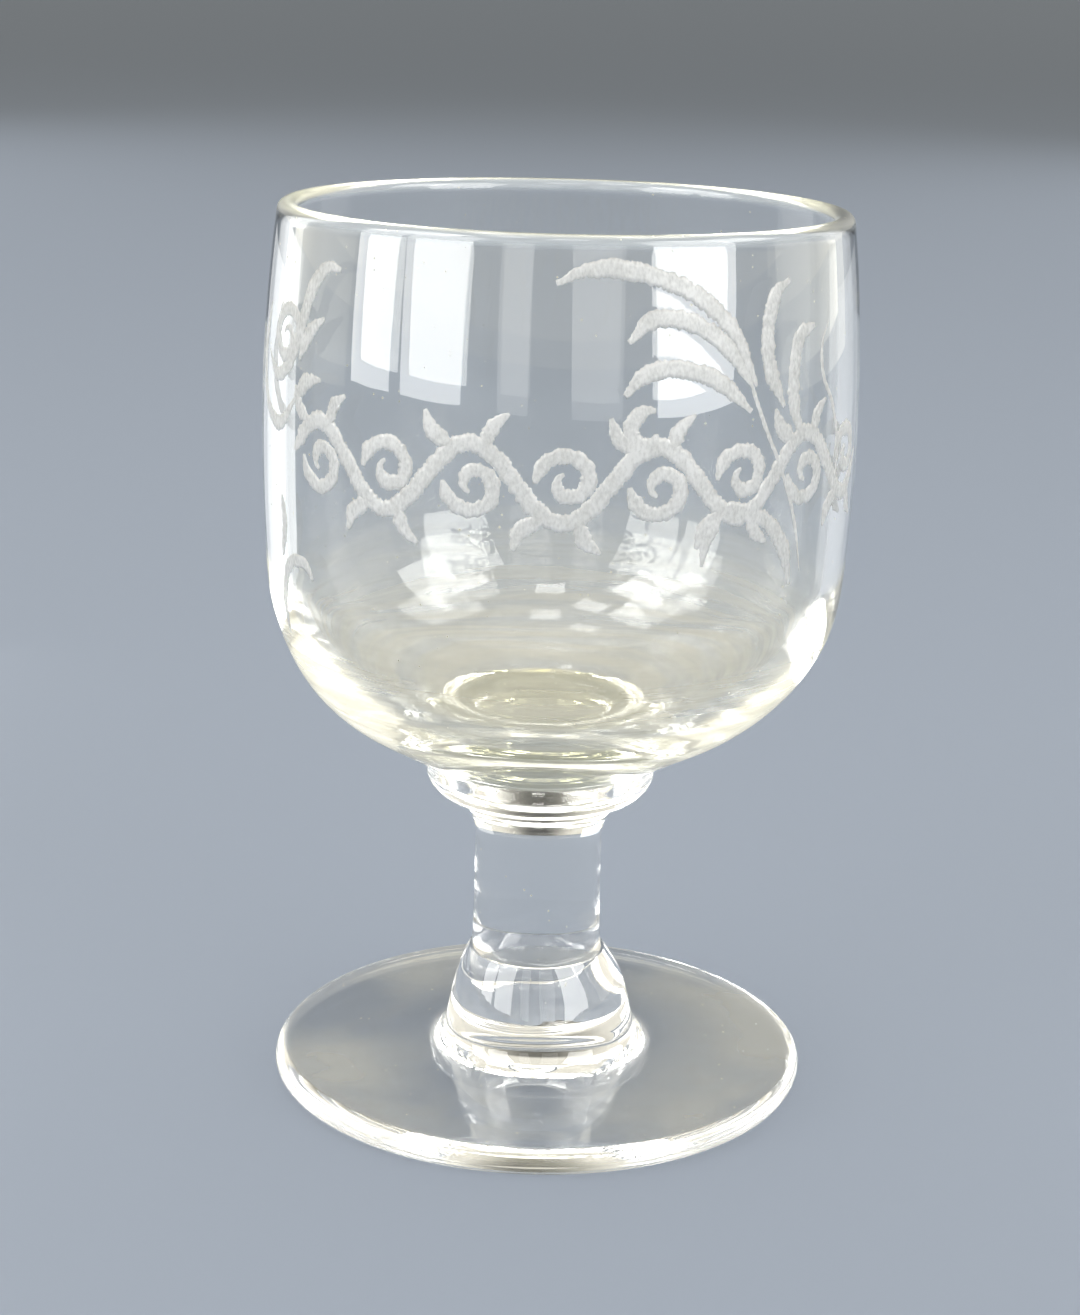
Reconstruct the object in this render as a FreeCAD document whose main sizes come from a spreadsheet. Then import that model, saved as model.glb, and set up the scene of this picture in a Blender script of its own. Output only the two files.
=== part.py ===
"""A stemmed rummer: a thick, hand-made drinking glass put together hot from five gathers of glass.

From the table up they are the foot, the knop, the stem, the merese and the bowl. Each gather is one
PartDesign body, turned from a half section about the glass's axis, with its own lower seam at local z = 0.
Its Placement lifts it by the heights of the gathers under it, so neighbours meet face to face at a seam.
Lengths are in millimetres, angles in degrees.
"""

import FreeCAD, Part
import math
import os
import sys

import Sketcher

# ---------------------------------------------------------------- driving dimensions

SIZES = {
    # heights, seam to seam
    "foot_height": 10.5,
    "knop_height": 7.1,
    "stem_length": 22.4,
    "merese_height": 5.2,
    "bowl_height": 74.8,
    # bowl, outside
    "rim_radius": 37.2,
    "belly_bulge": 1.9,  # how far the widest ring stands out past the rim
    "belly_drop": 30.0,  # how far the widest ring is below the lip
    "shoulder_curve": 26.0,
    "base_slope": 29.0,  # of the cone under the bowl, from the horizontal
    # bowl, inside
    "rim_wall": 2.6,
    "belly_wall": 2.9,
    "floor_wall": 4.8,  # measured on the axis
    "inner_shoulder_curve": 22.6,
    "inner_floor_curve": 60.0,
    # merese
    "merese_radius": 15.6,
    "merese_edge_curve": 4.0,  # of the round under its edge, which leaves a flat for the stem's neck
    # stem
    "neck_curve": 8.0,  # radius of the hollow spread under the merese
    "waist_radius": 8.7,
    "waist_height": 11.0,  # above the stem's lower seam
    "stem_swell": 0.3,  # how much fuller it is at its lower end than at the waist
    # knop
    "knop_radius": 12.3,
    "knop_step": 0.4,  # ledge left round the stem's lower end
    "knop_side_curve": 20.0,
    # foot
    "foot_radius": 36.7,
    "foot_edge": 3.7,  # thickness of the rounded edge
    "foot_slope": 1.6,  # of its upper face, from the horizontal
    "boss_draft": 13.0,  # of the boss's side, from the vertical
    "boss_spread": 3.2,  # radius of the hollow curve from the boss's side to the upper face
    "standing_ring": 3.2,  # width of the flat ring that the glass stands on
    "foot_hollow": 0.9,  # how far the underside rises inside that ring
    "pontil_radius": 8.5,  # of the dish ground where the pontil rod was broken off
    "pontil_depth": 0.7,
}
SHEET = "Sizes"
NODES = ("foot", "knop", "stem", "merese", "bowl")
H_AXIS = -1
V_AXIS = -2
START, END, CENTRE = 1, 2, 3


def fill_sheet(doc):
    """Put every driving dimension in a spreadsheet cell under its own alias."""
    sheet = doc.addObject("Spreadsheet::Sheet", SHEET)
    for row, (alias, value) in enumerate(SIZES.items(), start=1):
        sheet.set(f"A{row}", alias)
        sheet.set(f"B{row}", str(value))
        sheet.setAlias(f"B{row}", alias)
    doc.recompute()


def from_sheet(formula):
    """An expression from a formula of aliases: 'foot_radius - foot_edge / 2' and so on."""
    return " ".join(f"{SHEET}.{word}" if word in SIZES else word for word in formula.split())


# ---------------------------------------------------------------- half sections

class HalfSection:
    """A closed outline right of the axis, drawn anticlockwise edge by edge, with x the radius and y up.

    Points are drawn where they belong, then held by constraints that read the spreadsheet.
    """

    def __init__(self, body):
        self.sketch = body.newObject("Sketcher::SketchObject", body.Label + "_half_section")
        plane = [f for f in body.Origin.OriginFeatures if f.Role == "XZ_Plane"][0]
        self.sketch.AttachmentSupport = [(plane, "")]
        self.sketch.MapMode = "FlatFace"
        self.edges = []

    def line(self, start, end):
        """Add a straight edge and return its number in the outline."""
        shape = Part.LineSegment(FreeCAD.Vector(*start, 0), FreeCAD.Vector(*end, 0))
        return self.keep(shape, START, END)

    def arc(self, centre, start, end, hollow=False):
        """Add an arc about centre; a hollow one has its centre outside the glass."""
        first, last = (end, start) if hollow else (start, end)
        radius = math.dist(centre, start)
        angles = [math.atan2(p[1] - centre[1], p[0] - centre[0]) for p in (first, last)]
        if angles[1] < angles[0]:
            angles[1] += 2 * math.pi
        circle = Part.Circle(FreeCAD.Vector(*centre, 0), FreeCAD.Vector(0, 0, 1), radius)
        ends = (END, START) if hollow else (START, END)
        return self.keep(Part.ArcOfCircle(circle, *angles), *ends)

    def keep(self, shape, head, tail):
        number = self.sketch.addGeometry(shape, False)
        self.edges.append((number, head, tail))
        return number

    def close(self, smooth):
        """Join each edge to the next, tangent where the first of the two is in smooth."""
        following = self.edges[1:] + self.edges[:1]
        for (number, _, tail), (after, head, _) in zip(self.edges, following):
            kind = "Tangent" if number in smooth else "Coincident"
            self.add(kind, number, tail, after, head)

    def add(self, *constraint):
        return self.sketch.addConstraint(Sketcher.Constraint(*constraint))

    def bind(self, constraint, formula):
        """Let a formula of spreadsheet aliases drive a constraint."""
        name = f"size_{constraint}"
        self.sketch.renameConstraint(constraint, name)
        self.sketch.setExpression("Constraints." + name, from_sheet(formula))

    def hold(self, edge, point, across=None, up=None):
        """Hold a point of an edge at formulas for its radius and its height."""
        here = self.sketch.getPoint(edge, point)
        if across is not None:
            self.bind(self.add("DistanceX", edge, point, here.x), across)
        if up is not None:
            self.bind(self.add("DistanceY", edge, point, here.y), up)

    def on_axis(self, edge, point):
        self.add("PointOnObject", edge, point, V_AXIS)

    def on_seam(self, edge, point):
        self.add("PointOnObject", edge, point, H_AXIS)

    def radius(self, edge, formula):
        self.bind(self.add("Radius", edge, self.sketch.Geometry[edge].Radius), formula)

    def slope(self, edge, formula, turned=0):
        """Hold a line's direction at a formula in degrees, counted from the heading turned."""
        line = self.sketch.Geometry[edge]
        run = line.EndPoint - line.StartPoint
        angle = math.atan2(run.y, run.x)
        self.bind(self.add("Angle", edge, angle), f"( {turned} + {formula} ) * 1 deg")


def turned_body(doc, node, under):
    """A new body for one gather, standing on the gathers named in under."""
    body = doc.addObject("PartDesign::Body", node)
    body.Label = node
    if under:
        body.setExpression(".Placement.Base.z", from_sheet("( " + " + ".join(under) + " ) * 1 mm"))
    return body


def turn(body, section):
    """Revolve a finished half section all the way round the glass's axis."""
    solid = body.newObject("PartDesign::Revolution", body.Label + "_turned")
    solid.Profile = section.sketch
    solid.ReferenceAxis = (section.sketch, ["V_Axis"])
    solid.Angle = 360
    section.sketch.Visibility = False


def along(point, direction, distance):
    return (point[0] + direction[0] * distance, point[1] + direction[1] * distance)


def heading(degrees):
    return (math.cos(math.radians(degrees)), math.sin(math.radians(degrees)))


def from_circle(centre, radius, towards):
    """The point of a circle that lies in the direction of another point."""
    reach = radius / math.dist(centre, towards)
    return tuple(c + (t - c) * reach for c, t in zip(centre, towards))


# ---------------------------------------------------------------- the five gathers

def make_foot(doc):
    """A flat disc with a rounded edge, a raised boss for the knop, and a ground pontil mark underneath."""
    body = turned_body(doc, "foot", [])
    section = HalfSection(body)
    edge = SIZES["foot_edge"] / 2
    edge_centre = (SIZES["foot_radius"] - edge, edge)
    ring_out = (edge_centre[0], 0)
    ring_in = (edge_centre[0] - SIZES["standing_ring"], 0)
    hollow = SIZES["foot_hollow"]
    depth = SIZES["pontil_depth"]
    pontil = (SIZES["pontil_radius"], hollow)
    dish_top = (0, hollow + depth)
    dish_curve = (pontil[0] ** 2 + depth ** 2) / (2 * depth)
    dish_centre = (0, dish_top[1] - dish_curve)

    face_normal = heading(90 - SIZES["foot_slope"])
    side_normal = heading(SIZES["boss_draft"])
    face_start = along(edge_centre, face_normal, edge)
    boss_top = (SIZES["knop_radius"], SIZES["foot_height"])
    spread = SIZES["boss_spread"]
    # the hollow curve touches both the upper face and the boss's side
    reach_face = face_normal[0] * face_start[0] + face_normal[1] * face_start[1] + spread
    reach_side = side_normal[0] * boss_top[0] + side_normal[1] * boss_top[1] + spread
    turn_between = face_normal[0] * side_normal[1] - face_normal[1] * side_normal[0]
    spread_centre = (
        (reach_face * side_normal[1] - reach_side * face_normal[1]) / turn_between,
        (reach_side * face_normal[0] - reach_face * side_normal[0]) / turn_between,
    )
    face_end = along(spread_centre, face_normal, -spread)
    side_start = along(spread_centre, side_normal, -spread)

    dish = section.arc(dish_centre, dish_top, pontil, hollow=True)
    underside = section.line(pontil, ring_in)
    ring = section.line(ring_in, ring_out)
    rounded = section.arc(edge_centre, ring_out, face_start)
    face = section.line(face_start, face_end)
    curve = section.arc(spread_centre, face_end, side_start, hollow=True)
    side = section.line(side_start, boss_top)
    seam = section.line(boss_top, (0, boss_top[1]))
    section.line((0, boss_top[1]), dish_top)
    section.close(smooth=(ring, rounded, face, curve))

    section.on_axis(dish, CENTRE)
    section.on_axis(dish, END)
    section.hold(dish, END, up="foot_hollow + pontil_depth")
    section.hold(underside, START, across="pontil_radius", up="foot_hollow")
    section.hold(ring, START, across="foot_radius - foot_edge / 2 - standing_ring")
    section.on_seam(ring, START)
    section.add("Horizontal", ring)
    section.hold(rounded, CENTRE, across="foot_radius - foot_edge / 2")
    section.radius(rounded, "foot_edge / 2")
    section.slope(face, "0 - foot_slope", turned=180)
    section.radius(curve, "boss_spread")
    section.slope(side, "boss_draft", turned=90)
    section.hold(side, END, across="knop_radius", up="foot_height")
    section.add("Horizontal", seam)
    section.on_axis(seam, END)
    turn(body, section)


def make_knop(doc):
    """The short swelling collar between foot and stem."""
    body = turned_body(doc, "knop", ["foot_height"])
    section = HalfSection(body)
    low = (SIZES["knop_radius"], 0)
    top = (SIZES["waist_radius"] + SIZES["stem_swell"] + SIZES["knop_step"], SIZES["knop_height"])
    middle = ((low[0] + top[0]) / 2, (low[1] + top[1]) / 2)
    half_chord = math.dist(low, top) / 2
    inward = math.sqrt(SIZES["knop_side_curve"] ** 2 - half_chord ** 2)
    across_chord = ((low[1] - top[1]) / (2 * half_chord), (top[0] - low[0]) / (2 * half_chord))
    centre = along(middle, across_chord, inward)

    base = section.line((0, 0), low)
    side = section.arc(centre, low, top)
    seam = section.line(top, (0, top[1]))
    section.line((0, top[1]), (0, 0))
    section.close(smooth=())

    section.add("Coincident", base, START, H_AXIS, START)
    section.add("Horizontal", base)
    section.hold(side, START, across="knop_radius")
    section.radius(side, "knop_side_curve")
    section.hold(seam, START, across="waist_radius + stem_swell + knop_step", up="knop_height")
    section.add("Horizontal", seam)
    section.on_axis(seam, END)
    turn(body, section)


def make_stem(doc):
    """The solid drawn stem, a little fuller at its lower end, whose neck spreads to the merese's flat."""
    body = turned_body(doc, "stem", ["foot_height", "knop_height"])
    section = HalfSection(body)
    swell = SIZES["stem_swell"]
    waist = (SIZES["waist_radius"], SIZES["waist_height"])
    low = (waist[0] + swell, 0)
    swell_curve = (waist[1] ** 2 + swell ** 2) / (2 * swell)
    top = (SIZES["merese_radius"] - SIZES["merese_edge_curve"], SIZES["stem_length"])
    spread = SIZES["neck_curve"]
    neck_rise = math.sqrt(spread ** 2 - (waist[0] + spread - top[0]) ** 2)
    neck = (waist[0], top[1] - neck_rise)

    base = section.line((0, 0), low)
    taper = section.arc((waist[0] + swell_curve, waist[1]), low, waist, hollow=True)
    shaft = section.line(waist, neck)
    flare = section.arc((waist[0] + spread, neck[1]), neck, top, hollow=True)
    seam = section.line(top, (0, top[1]))
    section.line((0, top[1]), (0, 0))
    section.close(smooth=(taper, shaft))

    section.add("Coincident", base, START, H_AXIS, START)
    section.add("Horizontal", base)
    section.hold(taper, END, across="waist_radius + stem_swell")
    section.hold(shaft, START, across="waist_radius", up="waist_height")
    section.add("Vertical", shaft)
    section.radius(flare, "neck_curve")
    section.hold(seam, START, across="merese_radius - merese_edge_curve", up="stem_length")
    section.add("Horizontal", seam)
    section.on_axis(seam, END)
    turn(body, section)


def make_merese(doc):
    """The flat collar between stem and bowl, with a full round under its edge."""
    body = turned_body(doc, "merese", ["foot_height", "knop_height", "stem_length"])
    section = HalfSection(body)
    curve = SIZES["merese_edge_curve"]
    outer = SIZES["merese_radius"]
    height = SIZES["merese_height"]

    base = section.line((0, 0), (outer - curve, 0))
    round_edge = section.arc((outer - curve, curve), (outer - curve, 0), (outer, curve))
    wall = section.line((outer, curve), (outer, height))
    seam = section.line((outer, height), (0, height))
    section.line((0, height), (0, 0))
    section.close(smooth=(base, round_edge))

    section.add("Coincident", base, START, H_AXIS, START)
    section.add("Horizontal", base)
    section.radius(round_edge, "merese_edge_curve")
    section.add("Vertical", wall)
    section.hold(seam, START, across="merese_radius", up="merese_height")
    section.add("Horizontal", seam)
    section.on_axis(seam, END)
    turn(body, section)


def make_bowl(doc):
    """The thick bowl: a shallow cone under a round shoulder, bowed sides, a round lip and a heavy floor."""
    body = turned_body(doc, "bowl", ["foot_height", "knop_height", "stem_length", "merese_height"])
    section = HalfSection(body)
    height = SIZES["bowl_height"]
    lip = SIZES["rim_wall"] / 2
    lip_centre = (SIZES["rim_radius"] - lip, height - lip)
    belly = SIZES["rim_radius"] + SIZES["belly_bulge"]
    belly_height = height - SIZES["belly_drop"]
    rise = lip_centre[1] - belly_height

    # the outer side passes through the widest ring and rolls into the lip
    past_lip = belly - lip_centre[0]
    side_curve = (past_lip ** 2 + rise ** 2 - lip ** 2) / (2 * (past_lip - lip))
    side_centre = (belly - side_curve, belly_height)
    # the inner side does the same from within
    inner_belly = belly - SIZES["belly_wall"]
    past_lip = inner_belly - lip_centre[0]
    inner_side_curve = (past_lip ** 2 + rise ** 2 - lip ** 2) / (2 * (past_lip + lip))
    inner_side_centre = (inner_belly - inner_side_curve, belly_height)

    # the outer shoulder rolls from the cone into the side
    shoulder = SIZES["shoulder_curve"]
    seat_edge = (SIZES["merese_radius"], 0)
    up_cone = heading(SIZES["base_slope"])
    off_cone = along(seat_edge, heading(SIZES["base_slope"] + 90), shoulder)
    lag = (off_cone[0] - side_centre[0], off_cone[1] - side_centre[1])
    half_turn = lag[0] * up_cone[0] + lag[1] * up_cone[1]
    spare = lag[0] ** 2 + lag[1] ** 2 - (side_curve - shoulder) ** 2
    cone_length = math.sqrt(half_turn ** 2 - spare) - half_turn
    shoulder_centre = along(off_cone, up_cone, cone_length)
    cone_end = along(seat_edge, up_cone, cone_length)
    # the inner shoulder rolls from the inner side into the floor
    inner_shoulder = SIZES["inner_shoulder_curve"]
    floor_curve = SIZES["inner_floor_curve"]
    floor_centre = (0, SIZES["floor_wall"] + floor_curve)
    to_side = inner_side_curve - inner_shoulder
    to_floor = floor_curve - inner_shoulder
    span = math.dist(inner_side_centre, floor_centre)
    step = (to_side ** 2 - to_floor ** 2 + span ** 2) / (2 * span)
    drop = math.sqrt(to_side ** 2 - step ** 2)
    line_up = tuple((f - s) / span for f, s in zip(floor_centre, inner_side_centre))
    inner_shoulder_centre = along(along(inner_side_centre, line_up, step), (line_up[1], -line_up[0]), drop)

    side_start = from_circle(side_centre, side_curve, shoulder_centre)
    lip_start = from_circle(side_centre, side_curve, lip_centre)
    lip_end = from_circle(inner_side_centre, inner_side_curve, lip_centre)
    inner_side_end = from_circle(inner_side_centre, inner_side_curve, inner_shoulder_centre)
    floor_start = from_circle(floor_centre, floor_curve, inner_shoulder_centre)
    floor_end = (0, SIZES["floor_wall"])

    seat = section.line((0, 0), seat_edge)
    cone = section.line(seat_edge, cone_end)
    outer_shoulder = section.arc(shoulder_centre, cone_end, side_start)
    side = section.arc(side_centre, side_start, lip_start)
    rim = section.arc(lip_centre, lip_start, lip_end)
    inner_side = section.arc(inner_side_centre, lip_end, inner_side_end, hollow=True)
    inner_curve = section.arc(inner_shoulder_centre, inner_side_end, floor_start, hollow=True)
    floor = section.arc(floor_centre, floor_start, floor_end, hollow=True)
    section.line(floor_end, (0, 0))
    section.close(smooth=(cone, outer_shoulder, side, rim, inner_side, inner_curve))

    section.add("Coincident", seat, START, H_AXIS, START)
    section.add("Horizontal", seat)
    section.hold(seat, END, across="merese_radius")
    section.slope(cone, "base_slope")
    section.radius(outer_shoulder, "shoulder_curve")
    section.radius(rim, "rim_wall / 2")
    section.hold(rim, CENTRE, across="rim_radius - rim_wall / 2", up="bowl_height - rim_wall / 2")
    belly_rings = ((side, "rim_radius + belly_bulge"), (inner_side, "rim_radius + belly_bulge - belly_wall"))
    for edge, reach in belly_rings:
        widest = section.sketch.addGeometry(Part.Point(FreeCAD.Vector(belly, belly_height, 0)), True)
        section.add("PointOnObject", widest, START, edge)
        section.hold(widest, START, across=reach, up="bowl_height - belly_drop")
        section.hold(edge, CENTRE, up="bowl_height - belly_drop")
    section.radius(inner_curve, "inner_shoulder_curve")
    section.radius(floor, "inner_floor_curve")
    section.on_axis(floor, CENTRE)
    section.on_axis(floor, START)
    section.hold(floor, START, up="floor_wall")
    turn(body, section)


# ---------------------------------------------------------------- build, check, write

def faults(doc):
    """Everything wrong with the recomputed document, in words."""
    found = []
    for item in doc.Objects:
        if "Invalid" in item.State or "Error" in item.State:
            found.append(f"{item.Label}: {item.State}")
        if item.TypeId == "Sketcher::SketchObject" and item.solve() != 0:
            found.append(f"{item.Label}: its constraints do not solve")
    for node in NODES:
        shape = doc.getObject(node).Shape
        if shape.isNull() or not shape.isValid() or len(shape.Solids) != 1:
            found.append(f"{node}: not one valid solid")
    return found


def main():
    doc = FreeCAD.newDocument("rummer")
    fill_sheet(doc)
    for make in (make_foot, make_knop, make_stem, make_merese, make_bowl):
        make(doc)
    doc.recompute()
    wrong = faults(doc)
    if wrong:
        sys.exit("\n".join(wrong))
    os.makedirs("parts", exist_ok=True)
    for node in NODES:
        doc.getObject(node).Shape.exportStep(f"parts/{node}.step")


main()
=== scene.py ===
"""A hand-made, wheel-engraved glass rummer on a short stem, standing on a plain pale floor.

Each of the five CAD gathers is replaced by a finely turned mesh of the same outline, with the small leans and
waves of hand-made glass. Faces on the hot seams between gathers let light straight through, so the five
pieces look like one mass of fused glass. The engraving is a set of thin frosted ribbons that hug the bowl.
"""

import math
import random

import bpy
from mathutils import Matrix, Vector, noise


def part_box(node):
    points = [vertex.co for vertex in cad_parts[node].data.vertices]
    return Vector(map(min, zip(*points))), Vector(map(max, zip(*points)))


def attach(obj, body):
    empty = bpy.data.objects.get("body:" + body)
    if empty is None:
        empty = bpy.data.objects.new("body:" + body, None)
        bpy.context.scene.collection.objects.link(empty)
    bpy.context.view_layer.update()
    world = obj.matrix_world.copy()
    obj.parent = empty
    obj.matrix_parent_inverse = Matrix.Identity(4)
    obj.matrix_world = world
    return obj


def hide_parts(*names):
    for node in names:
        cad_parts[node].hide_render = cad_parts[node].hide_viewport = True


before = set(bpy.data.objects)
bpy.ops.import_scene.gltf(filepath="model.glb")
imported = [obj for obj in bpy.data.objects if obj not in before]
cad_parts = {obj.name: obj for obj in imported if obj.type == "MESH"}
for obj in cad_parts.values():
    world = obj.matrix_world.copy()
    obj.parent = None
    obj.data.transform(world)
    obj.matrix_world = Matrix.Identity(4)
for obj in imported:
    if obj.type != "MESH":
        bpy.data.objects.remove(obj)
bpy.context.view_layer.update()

MM = 0.001
ROOT = "root"

# ---------------------------------------------------------------- sizes, in millimetres and degrees

FOOT_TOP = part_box("foot")[1].z / MM
KNOP_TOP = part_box("knop")[1].z / MM
STEM_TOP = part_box("stem")[1].z / MM
MERESE_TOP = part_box("merese")[1].z / MM
BOWL_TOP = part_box("bowl")[1].z / MM
FOOT_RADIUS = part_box("foot")[1].x / MM
KNOP_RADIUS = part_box("knop")[1].x / MM
MERESE_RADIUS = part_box("merese")[1].x / MM
BELLY_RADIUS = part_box("bowl")[1].x / MM

RIM_RADIUS = 37.2
BELLY_DROP = 30.0
SHOULDER_CURVE = 26.0
BASE_SLOPE = 29.0
RIM_WALL = 2.6
BELLY_WALL = 2.9
FLOOR_WALL = 4.8
INNER_SHOULDER_CURVE = 22.6
INNER_FLOOR_CURVE = 60.0
MERESE_EDGE_CURVE = 4.0
NECK_CURVE = 8.0
WAIST_RADIUS = 8.7
WAIST_HEIGHT = 11.0
STEM_SWELL = 0.3
KNOP_STEP = 0.4
KNOP_SIDE_CURVE = 20.0
FOOT_EDGE = 3.7
FOOT_SLOPE = 1.6
BOSS_DRAFT = 13.0
BOSS_SPREAD = 3.2
STANDING_RING = 3.2
FOOT_HOLLOW = 0.9
PONTIL_RADIUS = 8.5
PONTIL_DEPTH = 0.7

SEGMENTS = 288
FINE_STEP = 0.35  # longest step along the tight curves of an outline
COARSE_STEP = 1.2  # longest step along its long sides


# ---------------------------------------------------------------- plane geometry of the half sections

def along(point, direction, distance):
    return (point[0] + direction[0] * distance, point[1] + direction[1] * distance)


def heading(degrees):
    return (math.cos(math.radians(degrees)), math.sin(math.radians(degrees)))


def from_circle(centre, radius, towards):
    """The point of a circle that lies in the direction of another point."""
    reach = radius / math.dist(centre, towards)
    return tuple(c + (t - c) * reach for c, t in zip(centre, towards))


def arc(centre, start, end, step=FINE_STEP):
    """Points from start to end round centre by the shorter way, both ends included."""
    radius = math.dist(centre, start)
    first = math.atan2(start[1] - centre[1], start[0] - centre[0])
    last = math.atan2(end[1] - centre[1], end[0] - centre[0])
    turn = (last - first + math.pi) % (2 * math.pi) - math.pi
    count = max(2, math.ceil(abs(turn) * radius / step))
    angles = [first + turn * i / count for i in range(count + 1)]
    return [(centre[0] + radius * math.cos(a), centre[1] + radius * math.sin(a)) for a in angles]


def line(start, end, step=COARSE_STEP):
    """Points from start to end, both included."""
    count = max(1, math.ceil(math.dist(start, end) / step))
    return [tuple(s + (e - s) * i / count for s, e in zip(start, end)) for i in range(count + 1)]


def side_arc(belly, lip_centre, lip, inner):
    """Centre and radius of the bowed side that rolls into the lip from outside or from inside."""
    rise = BELLY_DROP - lip
    past_lip = belly - lip_centre[0]
    gap = past_lip + lip if inner else past_lip - lip
    radius = (past_lip ** 2 + rise ** 2 - lip ** 2) / (2 * gap)
    return (belly - radius, BOWL_TOP - BELLY_DROP), radius


class Bowl:
    """The tangent circles of the bowl's half section, which the engraving follows too."""

    lip = RIM_WALL / 2
    lip_centre = (RIM_RADIUS - lip, BOWL_TOP - lip)
    side, side_radius = side_arc(BELLY_RADIUS, lip_centre, lip, inner=False)
    inner, inner_radius = side_arc(BELLY_RADIUS - BELLY_WALL, lip_centre, lip, inner=True)

    # outer shoulder, tangent to the cone and to the side
    seat_edge = (MERESE_RADIUS, MERESE_TOP)
    up_cone = heading(BASE_SLOPE)
    off_cone = along(seat_edge, heading(BASE_SLOPE + 90), SHOULDER_CURVE)
    lag = (off_cone[0] - side[0], off_cone[1] - side[1])
    half_turn = lag[0] * up_cone[0] + lag[1] * up_cone[1]
    spare = lag[0] ** 2 + lag[1] ** 2 - (side_radius - SHOULDER_CURVE) ** 2
    cone_length = math.sqrt(half_turn ** 2 - spare) - half_turn
    shoulder = along(off_cone, up_cone, cone_length)
    cone_end = along(seat_edge, up_cone, cone_length)

    # inner shoulder, tangent to the inner side and to the floor
    floor = (0, MERESE_TOP + FLOOR_WALL + INNER_FLOOR_CURVE)
    to_side = inner_radius - INNER_SHOULDER_CURVE
    to_floor = INNER_FLOOR_CURVE - INNER_SHOULDER_CURVE
    span = math.dist(inner, floor)
    step = (to_side ** 2 - to_floor ** 2 + span ** 2) / (2 * span)
    drop = math.sqrt(to_side ** 2 - step ** 2)
    rise = ((floor[0] - inner[0]) / span, (floor[1] - inner[1]) / span)
    inner_shoulder = along(along(inner, rise, step), (rise[1], -rise[0]), drop)

    side_start = from_circle(side, side_radius, shoulder)
    lip_start = from_circle(side, side_radius, lip_centre)
    lip_end = from_circle(inner, inner_radius, lip_centre)
    inner_side_end = from_circle(inner, inner_radius, inner_shoulder)
    floor_start = from_circle(floor, INNER_FLOOR_CURVE, inner_shoulder)

    @classmethod
    def outer_radius(cls, height):
        """The bowl's outer radius at a height on its side or shoulder."""
        centre, radius = (cls.side, cls.side_radius)
        if height < cls.side_start[1]:
            centre, radius = (cls.shoulder, SHOULDER_CURVE)
        return centre[0] + math.sqrt(radius ** 2 - (height - centre[1]) ** 2)


# ---------------------------------------------------------------- outlines, from the axis out and back again

def bowl_outline():
    top_of_lip = (Bowl.lip_centre[0], BOWL_TOP)
    runs = [
        line((0, MERESE_TOP), Bowl.seat_edge),
        line(Bowl.seat_edge, Bowl.cone_end, FINE_STEP),
        arc(Bowl.shoulder, Bowl.cone_end, Bowl.side_start, 2 * FINE_STEP),
        arc(Bowl.side, Bowl.side_start, Bowl.lip_start, COARSE_STEP),
        arc(Bowl.lip_centre, Bowl.lip_start, top_of_lip),
        arc(Bowl.lip_centre, top_of_lip, Bowl.lip_end),
        arc(Bowl.inner, Bowl.lip_end, Bowl.inner_side_end, COARSE_STEP),
        arc(Bowl.inner_shoulder, Bowl.inner_side_end, Bowl.floor_start, 2 * FINE_STEP),
        arc(Bowl.floor, Bowl.floor_start, (0, MERESE_TOP + FLOOR_WALL), 2 * FINE_STEP),
    ]
    return runs, [0]


def merese_outline():
    flat = MERESE_RADIUS - MERESE_EDGE_CURVE
    round_top = STEM_TOP + MERESE_EDGE_CURVE
    runs = [
        line((0, STEM_TOP), (flat, STEM_TOP)),
        arc((flat, round_top), (flat, STEM_TOP), (MERESE_RADIUS, round_top)),
        line((MERESE_RADIUS, round_top), (MERESE_RADIUS, MERESE_TOP), FINE_STEP),
        line((MERESE_RADIUS, MERESE_TOP), (0, MERESE_TOP)),
    ]
    return runs, [0, 3]


def stem_outline():
    low = (WAIST_RADIUS + STEM_SWELL, KNOP_TOP)
    waist = (WAIST_RADIUS, KNOP_TOP + WAIST_HEIGHT)
    swell_curve = (WAIST_HEIGHT ** 2 + STEM_SWELL ** 2) / (2 * STEM_SWELL)
    top = (MERESE_RADIUS - MERESE_EDGE_CURVE, STEM_TOP)
    neck_centre_x = WAIST_RADIUS + NECK_CURVE
    neck_rise = math.sqrt(NECK_CURVE ** 2 - (neck_centre_x - top[0]) ** 2)
    neck = (WAIST_RADIUS, STEM_TOP - neck_rise)
    runs = [
        line((0, KNOP_TOP), low),
        arc((WAIST_RADIUS + swell_curve, waist[1]), low, waist),
        line(waist, neck, FINE_STEP),
        arc((neck_centre_x, neck[1]), neck, top),
        line(top, (0, STEM_TOP)),
    ]
    return runs, [0, 4]


def knop_outline():
    low = (KNOP_RADIUS, FOOT_TOP)
    stem_end = (WAIST_RADIUS + STEM_SWELL, KNOP_TOP)
    top = (stem_end[0] + KNOP_STEP, KNOP_TOP)
    half_chord = math.dist(low, top) / 2
    inward = math.sqrt(KNOP_SIDE_CURVE ** 2 - half_chord ** 2)
    middle = ((low[0] + top[0]) / 2, (low[1] + top[1]) / 2)
    across = ((low[1] - top[1]) / (2 * half_chord), (top[0] - low[0]) / (2 * half_chord))
    runs = [
        line((0, FOOT_TOP), low),
        arc(along(middle, across, inward), low, top),
        line(top, stem_end, FINE_STEP),
        line(stem_end, (0, KNOP_TOP)),
    ]
    return runs, [0, 3]


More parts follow.
